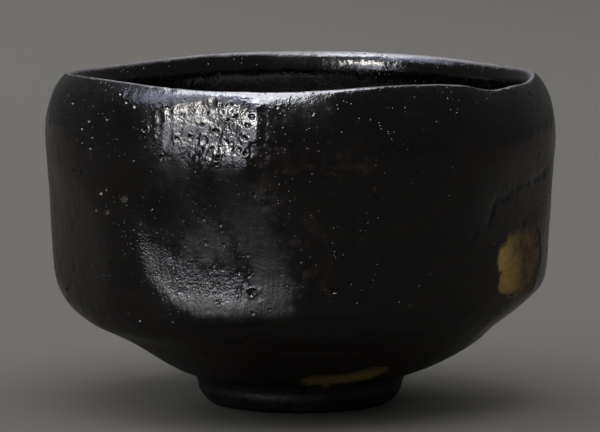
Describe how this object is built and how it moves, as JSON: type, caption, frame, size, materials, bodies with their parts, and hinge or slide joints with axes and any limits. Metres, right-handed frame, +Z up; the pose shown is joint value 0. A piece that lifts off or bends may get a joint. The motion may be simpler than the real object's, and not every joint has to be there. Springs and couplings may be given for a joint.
{
  "type": "raku tea bowl",
  "caption": "Hand-pared black raku tea bowl: round shoulder, curled-in wavy lip, spatula-cut dented wall, hollow inside and a low ring foot.",
  "frame": {"origin": "centre of the foot ring, on the surface that the bowl stands on", "axes": "+Z up out of the bowl's mouth; -Y towards the front with the large spatula cut; +X to the right seen from that front"},
  "size_m": [0.1202, 0.1185, 0.079],
  "materials": {
    "black_raku_glaze": "thick glossy black raku glaze, pitted and orange-peeled, with matt red-brown tong marks and bare ochre clay patches"
  },
  "bodies": {
    "root": {"tea_bowl": "black_raku_glaze"}
  },
  "joints": []
}
